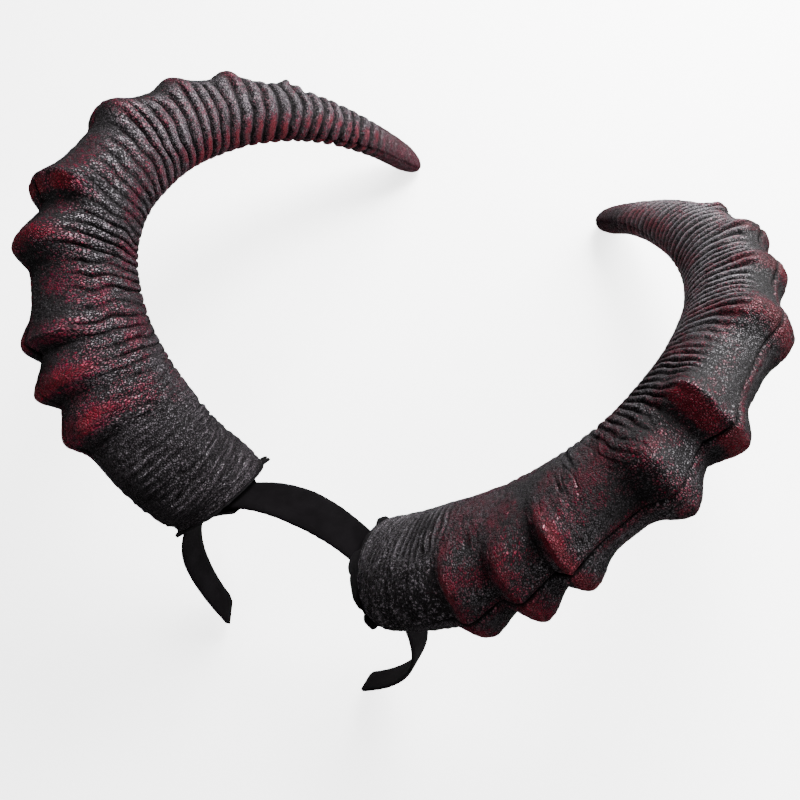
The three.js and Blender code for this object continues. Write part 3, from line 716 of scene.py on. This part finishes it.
def foam_material(name, grey, crimson, thick, bright, grain, offset):
    n = Nodes(name)
    red, shade, light, tip = (n.attribute(k) for k in ("red", "shade", "light", "tip"))
    ridge, sparse = n.attribute("ridge"), n.attribute("sparse")
    # Leathery skin: small irregular grains parted by fine cracks
    place = n.add("ShaderNodeCombineXYZ")
    n.link(n.attribute("along"), place.inputs[0])
    n.link(n.math("MULTIPLY", n.attribute("around"), GRAIN_STRETCH), place.inputs[1])
    place.inputs[2].default_value = offset
    position = place.outputs[0]
    wobble = n.add("ShaderNodeTexNoise")
    n.link(position, wobble.inputs["Vector"])
    wobble.inputs["Scale"].default_value = 620.0
    wobble.inputs["Detail"].default_value = 2.0
    shifted = n.add("ShaderNodeVectorMath", operation="MULTIPLY_ADD")
    n.link(wobble.outputs["Color"], shifted.inputs[0])
    shifted.inputs[1].default_value = (0.0011, 0.0011, 0.0011)
    n.link(position, shifted.inputs[2])
    skin = shifted.outputs[0]
    edge = n.cells(grain, "DISTANCE_TO_EDGE", skin)["Distance"]
    parts = n.add("ShaderNodeSeparateColor")
    n.link(n.cells(grain, "F1", skin)["Color"], parts.inputs[0])
    chance, lot = parts.outputs[0], parts.outputs[1]
    top = n.ramp(edge, 0.02, 0.26)
    fine = n.noise(1700.0, 2.0, 0.6, skin)
    medium = n.noise(430.0, 3.0, 0.62, skin)
    coarse = n.noise(120.0, 3.0, 0.6)
    height = n.math("MULTIPLY", top, n.ramp(lot, 0.0, 1.0, 0.7, 1.0))
    height = n.math("ADD", n.math("MULTIPLY", height, 0.62), n.math("MULTIPLY", medium, 0.42))
    height = n.math("ADD", height, n.math("MULTIPLY", n.math("SUBTRACT", fine, 0.5), 0.22))
    # On the thin rings the grains run together under an unbroken painted highlight along the crests
    peaks = n.math("MAXIMUM", n.ramp(height, 0.40, 0.77), n.math("MULTIPLY", ridge, 0.66))

    # Grey on the grain's tops: painted highlight, partly also a dry-brushed grey
    dark = rgb(0.0022, 0.0019, 0.0021)
    amount = n.math("MULTIPLY", n.math("MULTIPLY", peaks, light), n.ramp(chance, 0.0, 1.0, 0.6, 1.0))
    amount = n.math("MULTIPLY", amount, n.ramp(coarse, 0.3, 0.65, 0.6, 1.0))
    # Sparse painted glints, light specks where the sleeve is smooth
    few = n.ramp(chance, 0.62, 0.80)
    glint_specks = n.math("MULTIPLY", few, n.math("MULTIPLY", sparse, 8.0))
    amount = n.math("MULTIPLY", amount, n.math("ADD", n.math("SUBTRACT", 1.0, sparse), glint_specks))
    body = n.mix(amount, dark, rgb(*grey))
    # Red brushed over, grain by grain where it is thin and closing up where it is thick
    pick = n.math("MULTIPLY", n.math("SUBTRACT", lot, 0.5), 0.42)
    rise = n.math("MULTIPLY", n.math("SUBTRACT", height, 0.5), 0.9)
    drift = n.math("MULTIPLY", n.math("SUBTRACT", coarse, 0.5), 0.9)
    cover = n.ramp(n.math("ADD", n.math("ADD", red, pick), n.math("ADD", rise, drift)), 0.22, 0.95)
    cover = n.math("MULTIPLY", cover, n.ramp(red, 0.02, 0.18))
    paint = n.mix(n.ramp(red, 0.45, 1.05), rgb(*crimson), rgb(*thick))
    paint = n.mix(n.math("MULTIPLY", peaks, n.ramp(chance, 0.3, 1.0, 0.0, 0.5)), paint, rgb(*bright))
    paint = n.mix(n.ramp(edge, 0.0, 0.16, 0.75, 0.0), paint, rgb(0.004, 0.0006, 0.0008))
    body = n.mix(n.math("MULTIPLY", cover, 0.9), body, paint)
    body = n.mix(n.math("MULTIPLY", tip, 0.35), body, rgb(0.034, 0.0085, 0.0120))
    # Painted shade: the colour goes towards black under the shade mask
    body = n.mix(n.math("MULTIPLY", shade, 0.88), body, rgb(0.0012, 0.0010, 0.0011))
    n.link(body, n.bsdf.inputs["Base Color"])
    # The cracks and the hollows under the painted shade don't shine; the shine also follows the painted
    # highlight mask, and on the smooth sleeve only the painted glint specks keep it
    open_top = n.math("MAXIMUM", n.ramp(height, 0.40, 0.74), n.math("MULTIPLY", ridge, 0.6))
    bare = n.math("MULTIPLY", open_top, n.math("SUBTRACT", 1.0, n.math("MULTIPLY", shade, 0.88)))
    bare = n.math("MULTIPLY", bare, n.ramp(light, 0.0, 0.55, 0.22, 1.0))
    dull = n.math("MULTIPLY", sparse, n.math("SUBTRACT", 0.85, n.math("MULTIPLY", few, 0.85)))
    bare = n.math("MULTIPLY", bare, n.math("SUBTRACT", 1.0, dull))
    gleam = n.mix(n.math("MULTIPLY", cover, 0.9), rgb(0.98, 0.94, 1.0), rgb(0.9, 0.30, 0.40))
    n.link(n.mix(bare, rgb(0.07, 0.065, 0.07), gleam), n.bsdf.inputs["Specular Tint"])
    rough = n.ramp(height, 0.35, 0.78, 0.68, 0.23)
    n.link(n.math("ADD", rough, n.math("MULTIPLY", shade, 0.25), clamp=True), n.bsdf.inputs["Roughness"])
    n.bsdf.inputs["Specular IOR Level"].default_value = SHINE
    eased = n.math("MULTIPLY", height, n.math("SUBTRACT", 1.0, n.math("MULTIPLY", ridge, 0.5)))
    eased = n.math("ADD", eased, n.math("MULTIPLY", ridge, 0.3))
    small = n.bump(eased, 1.0, 0.0013)
    n.link(n.bump(coarse, 0.3, 0.0010, small), n.bsdf.inputs["Normal"])
    return n.material


def band_material():
    n = Nodes("band_cloth")
    weave_a = n.add("ShaderNodeTexWave", wave_type="BANDS", bands_direction="X")
    weave_b = n.add("ShaderNodeTexWave", wave_type="BANDS", bands_direction="Y")
    for threads in (weave_a, weave_b):
        n.link(n.position(), threads.inputs["Vector"])
        threads.inputs["Scale"].default_value = 520.0
        threads.inputs["Distortion"].default_value = 1.2
        threads.inputs["Detail"].default_value = 1.0
    weave = n.math("MULTIPLY", weave_a.outputs["Fac"], weave_b.outputs["Fac"])
    lint = n.noise(2400.0, 3.0, 0.7)
    wear = n.noise(60.0, 3.0, 0.6)
    tone = n.mix(n.ramp(wear, 0.35, 0.7), rgb(0.0013, 0.0011, 0.0013), rgb(0.0021, 0.0018, 0.0021))
    tone = n.mix(n.math("MULTIPLY", n.ramp(lint, 0.6, 0.8), 0.35), tone, rgb(0.0045, 0.004, 0.0045))
    n.link(tone, n.bsdf.inputs["Base Color"])
    n.link(n.ramp(lint, 0.2, 0.8, 0.85, 0.98), n.bsdf.inputs["Roughness"])
    n.bsdf.inputs["Specular IOR Level"].default_value = 0.015
    n.bsdf.inputs["Sheen Weight"].default_value = 0.01
    n.bsdf.inputs["Sheen Roughness"].default_value = 0.5
    n.bsdf.inputs["Sheen Tint"].default_value = rgb(0.25, 0.23, 0.25)
    both = n.math("ADD", n.math("MULTIPLY", weave, 0.7), n.math("MULTIPLY", lint, 0.5))
    n.link(n.bump(both, 0.5, 0.00015), n.bsdf.inputs["Normal"])
    return n.material


def felt_material():
    n = Nodes("black_felt")
    fibres = n.noise(1500.0, 5.0, 0.75, distortion=1.6)
    clumps = n.noise(280.0, 3.0, 0.6)
    tone = n.mix(n.ramp(fibres, 0.4, 0.75), rgb(0.0012, 0.0011, 0.0012), rgb(0.0055, 0.0050, 0.0055))
    tone = n.mix(n.math("MULTIPLY", n.ramp(clumps, 0.5, 0.75), 0.4), tone, rgb(0.007, 0.0065, 0.007))
    n.link(tone, n.bsdf.inputs["Base Color"])
    n.link(n.ramp(fibres, 0.3, 0.8, 0.9, 1.0), n.bsdf.inputs["Roughness"])
    n.bsdf.inputs["Specular IOR Level"].default_value = 0.015
    n.bsdf.inputs["Sheen Weight"].default_value = 0.02
    n.bsdf.inputs["Sheen Roughness"].default_value = 0.6
    n.bsdf.inputs["Sheen Tint"].default_value = rgb(0.2, 0.19, 0.2)
    both = n.math("ADD", n.math("MULTIPLY", fibres, 0.8), n.math("MULTIPLY", clumps, 0.6))
    n.link(n.bump(both, 0.8, 0.0004), n.bsdf.inputs["Normal"])
    return n.material


def floor_material():
    n = Nodes("pale_floor")
    haze = n.noise(3.0, 2.0, 0.5)
    n.link(n.mix(haze, rgb(0.86, 0.86, 0.86), rgb(0.90, 0.90, 0.90)), n.bsdf.inputs["Base Color"])
    n.bsdf.inputs["Roughness"].default_value = 0.9
    n.bsdf.inputs["Specular IOR Level"].default_value = 0.1
    n.bsdf.inputs["Emission Color"].default_value = rgb(1.0, 1.0, 1.0)
    n.bsdf.inputs["Emission Strength"].default_value = 2.4
    return n.material


# Band


def band_piece():
    stations = 300
    noise = Noise(91)
    t = np.linspace(0, 1, stations + 1)
    centre, along, normal = band.at(t), band.tangent(t), band_normal(t)
    from_top = np.abs(t - 0.5) * 2
    roll = BAND_TOP_ROLL * (1 - smooth(from_top / 0.25))
    half = BAND_WIDTH / 2 * np.interp(from_top, [r[0] for r in BAND_TAPER], [r[1] for r in BAND_TAPER])
    skew = LEFT_END_SKEW * (1 - smooth(t / 0.08)) / (2 * half)
    # Corners of the cut ends are slightly rounded
    run = band.run[np.searchsorted(band.ts, t).clip(0, 6000)]
    to_end = np.minimum(run, band.length - run)
    half = half - BAND_CORNER * (1 - np.clip(to_end / BAND_CORNER, 0, 1)) ** 2
    across = np.stack([normal[:, 0] * np.sin(roll), np.cos(roll), normal[:, 2] * np.sin(roll)], axis=1)
    out = normal * np.cos(roll)[:, None]
    out[:, 1] -= np.sin(roll)
    # Section: two flat faces with a soft sewn edge, a shallow furrow beside each edge
    n_face = 22
    q = np.linspace(-1, 1, n_face)
    thick = 0.5 * BAND_THICK * np.minimum(1.0, (np.maximum(1 - np.abs(q) ** 8, 0)) ** 0.5 * 0.75 + 0.25)
    furrow = 0.10 * np.exp(-((np.abs(q) - 0.86) / 0.035) ** 2)
    top = np.stack([q, thick - furrow], axis=1)
    bottom = np.stack([q[::-1], -(thick - furrow)[::-1]], axis=1)
    loop = np.concatenate([top, bottom])
    count = len(loop)
    wave = 0.18 * noise.fbm(run[:, None] / 9.0, loop[None, :, 0] * 1.4 + 5, 2)
    ragged = 0.16 * noise.fbm(run / 2.1, run * 0 + 3.3, 3)
    wide = half + ragged
    end_fade = np.clip(to_end / 0.9, 0.35, 1.0)
    points = (
        centre[:, None]
        + across[:, None] * (wide[:, None] * loop[None, :, 0])[..., None]
        + out[:, None] * (loop[None, :, 1] * end_fade[:, None] + wave * 0.3)[..., None]
        + along[:, None] * (skew[:, None] * (wide[:, None] * loop[None, :, 0] + half[:, None]))[..., None]
    )
    flat = points.reshape(-1, 3)
    index = np.arange(len(t) * count).reshape(len(t), count)
    nxt = np.roll(index, -1, axis=1)
    quads = np.stack([index[:-1], index[1:], nxt[1:], nxt[:-1]], axis=-1).reshape(-1, 4)
    caps = []
    for row, flip in ((index[0], False), (index[-1], True)):
        tops, unders = row[:n_face], row[n_face:][::-1]
        for i in range(n_face - 1):
            quad = [tops[i], tops[i + 1], unders[i + 1], unders[i]]
            caps.append(quad[::-1] if flip else quad)
    faces = outward(flat, [quads])
    caps = np.array(caps)
    # The caps face away from the band's middle
    first = caps[0]
    n_cap = np.cross(flat[first[1]] - flat[first[0]], flat[first[2]] - flat[first[0]])
    if np.dot(n_cap, along[0]) > 0:
        caps = caps[:, ::-1]
    return mesh_object("band", flat, faces + [caps])


# Felt

# Hand-cut tongues of felt that stand out past the rim: angle round the rim from the
# crest, half width in radians, reach mm
COVER_TONGUES = {
    "right": [(0.10, 0.22, 3.4), (1.0, 0.55, 3.2), (1.35, 0.25, 1.8),
              (2.45, 0.20, 2.2), (4.2, 0.2, 1.2), (5.3, 0.2, 1.4)],
    "left": [(0.08, 0.22, 3.0), (1.0, 0.2, 1.0), (2.87, 0.12, 4.4),
             (3.18, 0.12, 5.4), (3.9, 0.15, 1.4), (5.2, 0.2, 1.5)],
}
PATCH_TONGUES = {
    "right": [(0.35, 0.16, 2.6), (1.7, 0.25, 2.2), (2.4, 0.3, 3.0), (4.0, 0.2, 2.2), (5.2, 0.2, 2.0)],
    "left": [(0.5, 0.2, 2.0), (2.75, 0.16, 3.6), (3.7, 0.2, 2.4), (5.6, 0.2, 1.6)],
}


def ragged(phi, tongues, seed):
    noise = Noise(seed)
    out = 0.35 * noise.fbm(phi * 6.0, phi * 0 + 1.7, 3)
    for angle, width, reach in tongues:
        d = (phi - angle + np.pi) % (2 * np.pi) - np.pi
        out = out + reach * np.clip(2.2 * (1 - np.abs(d) / width), 0, 1) ** 0.6
    return out


def disc_faces(rings, spokes):
    """Upper side, under side, rim and the fans at the two middles, which come last."""
    n = rings * spokes
    a = np.arange(n).reshape(rings, spokes)
    nxt = np.roll(a, -1, axis=1)
    up = np.stack([a[:-1], a[1:], nxt[1:], nxt[:-1]], axis=-1).reshape(-1, 4)
    down = up[:, ::-1] + n
    wall = np.stack([a[-1], a[-1] + n, nxt[-1] + n, nxt[-1]], axis=-1)
    fan_up = np.stack([np.full(spokes, 2 * n), a[0], nxt[0]], axis=-1)
    fan_down = np.stack([np.full(spokes, 2 * n + 1), nxt[0] + n, a[0] + n], axis=-1)
    return up, down, wall, fan_up, fan_down


def cover_piece(side_name, mirror, seed):
    spokes, rings = ((360, 18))
    phi = np.linspace(0, 2 * np.pi, spokes, endpoint=False)
    _, crest, flank = horn_frame(np.array([0.0]))
    deep, wide = girth(np.array([0.0]))
    deep, wide = deep[0] + COVER_MARGIN, wide[0] + COVER_MARGIN
    edge = np.stack([deep * np.cos(phi), wide * np.sin(phi)], axis=1)
    way = unit(np.stack([np.cos(phi) / deep, np.sin(phi) / wide], axis=1))
    rim = edge + way * ragged(phi, COVER_TONGUES[side_name], seed)[:, None]
    noise = Noise(seed + 5)
    share = np.linspace(0, 1, rings + 1)[1:]
    flatpts = share[:, None, None] * rim[None]
    beyond = np.clip(np.linalg.norm(flatpts, axis=2) / np.linalg.norm(edge, axis=1)[None] - 1.0, 0, 1)
    lift = 9.0 * beyond * (0.4 + noise.at(phi * 2.2, phi * 0)[None]) - 2.5 * beyond
    fuzz = 0.05 * noise.fbm(flatpts[..., 0] / 1.3, flatpts[..., 1] / 1.3, 2)
    nip = 1 - 0.35 * smooth((share - 0.93) / 0.07)[:, None]
    mid = cover_under + FELT_THICK / 2
    tops = mid + FELT_THICK / 2 * nip + lift + fuzz
    unders = mid - FELT_THICK / 2 * nip + lift + fuzz

    def place(xy, level):
        return seat + xy[..., :1] * crest[0] + xy[..., 1:] * flank[0] + level[..., None] * seat_up

    top = place(flatpts, tops).reshape(-1, 3)
    under = place(flatpts, unders).reshape(-1, 3)
    middle = place(np.zeros((2, 2)), np.array([mid + FELT_THICK / 2, mid - FELT_THICK / 2]))
    points = np.concatenate([top, under, middle])
    up, down, wall, fan_up, fan_down = disc_faces(rings, spokes)
    faces = outward(points, [up, down, wall, fan_up, fan_down])
    ob = mesh_object("cover_" + side_name, points, faces, mirror=mirror)
    return ob


def patch_piece(side_name, mirror, seed):
    spokes, rings = ((300, 26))
    phi = np.linspace(0, 2 * np.pi, spokes, endpoint=False)
    # A rounded oblong: p along the band, q across it
    reach_q = BAND_WIDTH / 2 + PATCH_MARGIN
    power = PATCH_SQUARENESS
    scale = (np.abs(np.cos(phi)) ** power + np.abs(np.sin(phi)) ** power) ** (-1 / power)
    edge = np.stack([PATCH_HALF_LENGTH * scale * np.cos(phi), reach_q * scale * np.sin(phi)], axis=1)
    way = unit(edge)
    rim = edge + way * (ragged(phi, PATCH_TONGUES[side_name], seed) - 0.4)[:, None]
    share = np.linspace(0, 1, rings + 1)[1:]
    flatpts = share[:, None, None] * rim[None]
    t_line = np.linspace(HORN_STATION - 0.2, HORN_STATION + 0.2, 900)
    line = band.at(t_line) - seat
    reach, drop = line @ seat_along, -(line @ seat_up)
    noise = Noise(seed + 5)
    half = BAND_WIDTH / 2

    def levels(p, q):
        under = -np.interp(p, reach, drop) - BAND_THICK / 2 - GAP
        beside = cover_under - GAP
        rise = smooth((np.abs(q) - half - 0.1 * PATCH_MARGIN) / (0.75 * PATCH_MARGIN))
        return under + (beside - under) * rise

    p, q = flatpts[..., 0], flatpts[..., 1]
    level = levels(p, q)
    fuzz = 0.05 * noise.fbm(p / 1.3, q / 1.3, 2)
    nip = 0.3 * smooth((share - 0.93) / 0.07)[:, None]
    tops = level - nip + fuzz - 0.05
    unders = level - FELT_THICK + nip + fuzz
    y_way = np.array([0.0, 1.0, 0.0])

    def place(pp, qq, lv):
        return seat + pp[..., None] * seat_along + qq[..., None] * y_way + lv[..., None] * seat_up

    top = place(p, q, tops).reshape(-1, 3)
    under = place(p, q, unders).reshape(-1, 3)
    zero = np.zeros(2)
    centre_level = levels(zero, zero)
    middle = place(zero, zero, np.array([centre_level[0] - 0.05, centre_level[1] - FELT_THICK]))
    points = np.concatenate([top, under, middle])
    up, down, wall, fan_up, fan_down = disc_faces(rings, spokes)
    faces = outward(points, [up, down, wall, fan_up, fan_down])
    ob = mesh_object("patch_" + side_name, points, faces, mirror=mirror)
    return ob


# Camera at the photograph's angle, for a square image; its place and axes as worn, mm
def laid(v):
    c, s = math.cos(LEAN), math.sin(LEAN)
    return Vector((v[0], v[1] * c + v[2] * s, -v[1] * s + v[2] * c))


EYE = (172.506, -303.037, 504.124)
IMAGE_RIGHT = (0.893032, 0.440895, 0.090024)
VIEW_WAY = (-0.28886, 0.715066, -0.636585)
eye = settle(np.array([EYE]))[0]
x_axis = laid(IMAGE_RIGHT).normalized()
forward = laid(VIEW_WAY).normalized()
y_axis = x_axis.cross(-forward) * -1.0
camera_data = bpy.data.cameras.new("camera")
camera_data.sensor_width = 36.0
camera_data.lens = 40.5
camera_data.clip_start = 0.01
camera_data.clip_end = 50.0
camera = bpy.data.objects.new("camera", camera_data)
bpy.context.scene.collection.objects.link(camera)
basis = Matrix((x_axis, y_axis, -forward)).transposed()
camera.matrix_world = Matrix.Translation(Vector(eye)) @ basis.to_4x4()
bpy.context.scene.camera = camera

# Pieces
foam_right = foam_material(
    "horn_foam_right", grey=(0.086, 0.076, 0.085), crimson=(0.034, 0.0009, 0.0065),
    thick=(0.048, 0.0003, 0.0034), bright=(0.085, 0.0012, 0.0085), grain=1280.0, offset=0.02,
)
foam_left = foam_material(
    "horn_foam_left", grey=(0.112, 0.090, 0.106), crimson=(0.044, 0.0012, 0.0105),
    thick=(0.068, 0.0005, 0.0042), bright=(0.125, 0.0026, 0.0120), grain=1120.0, offset=0.31,
)
cloth = band_material()
felt = felt_material()

shells = [
    ("right_upper", 1, UPPER_KNOBS, PAINT_RIGHT, 110, False, foam_right, RIGHT_TONE),
    ("right_lower", -1, LOWER_KNOBS, PAINT_RIGHT, 210, False, foam_right, RIGHT_LOWER_TONE),
    ("left_upper", 1, UPPER_KNOBS, PAINT_LEFT, 310, True, foam_left, LEFT_TONE),
    ("left_lower", -1, LOWER_KNOBS, PAINT_LEFT, 410, True, foam_left, LEFT_LOWER_TONE),
]
for name, side, knobs, paint, seed, mirror, material, tone in shells:
    piece = horn_shell("shell_" + name, side, knobs, paint, seed, mirror, tone)
    piece.data.materials.append(material)
    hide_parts("horn_" + name + "_shell")
    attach(piece, "root")

band_object = band_piece()
band_object.data.materials.append(cloth)
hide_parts("headband")
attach(band_object, "root")

for side_name, mirror, seed in (("right", False, 500), ("left", True, 600)):
    for make, node, extra in ((cover_piece, "base_cover_", 0), (patch_piece, "strap_patch_", 30)):
        piece = make(side_name, mirror, seed + extra)
        piece.data.materials.append(felt)
        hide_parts(node + side_name)
        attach(piece, "root")

# Floor and light, metres
FLOOR_REACH = 6.0
FLOOR_DROP = 0.0005
WORLD_LIGHT = 0.22
floor_mesh = bpy.data.meshes.new("floor")
corners = [(FLOOR_REACH * x, FLOOR_REACH * y, 0) for x, y in ((-1, -1), (1, -1), (1, 1), (-1, 1))]
floor_mesh.from_pydata(corners, [], [(0, 1, 2, 3)])
floor = bpy.data.objects.new("floor", floor_mesh)
floor.location.z = -FLOOR_DROP
bpy.context.scene.collection.objects.link(floor)
floor_mesh.materials.append(floor_material())
# The gloss of the paint shows the softboxes alone
floor.visible_glossy = False

world = bpy.data.worlds.new("studio")
bpy.context.scene.world = world
world.use_nodes = True
world.node_tree.nodes["Background"].inputs[0].default_value = (1.0, 1.0, 1.0, 1.0)
world.node_tree.nodes["Background"].inputs[1].default_value = WORLD_LIGHT
world.cycles_visibility.glossy = False


def softbox(name, place, target, size, power):
    data = bpy.data.lights.new(name, "AREA")
    data.shape = "RECTANGLE"
    data.size, data.size_y = size
    data.energy = power
    lamp = bpy.data.objects.new(name, data)
    lamp.location = place
    lamp.visible_camera = False
    lamp.rotation_mode = "QUATERNION"
    lamp.rotation_quaternion = (Vector(target) - Vector(place)).to_track_quat("-Z", "Y")
    bpy.context.scene.collection.objects.link(lamp)


# Name, place and target, size, watts
softbox("key", (0.10, 0.58, 0.68), (0.0, 0.0, 0.08), (0.34, 0.28), 18.0)
softbox("back", (0.25, 1.05, 0.50), (0.0, 0.0, 0.05), (1.3, 0.6), 84.0)
softbox("fill", (-0.9, -0.5, 0.9), (0.0, 0.0, 0.08), (0.9, 0.9), 8.0)
softbox("side", (0.85, 0.30, 0.45), (-0.1, 0.05, 0.08), (0.5, 0.5), 9.0)
softbox("front", (0.35, -0.55, 0.95), (0.0, 0.0, 0.08), (0.6, 0.6), 8.0)
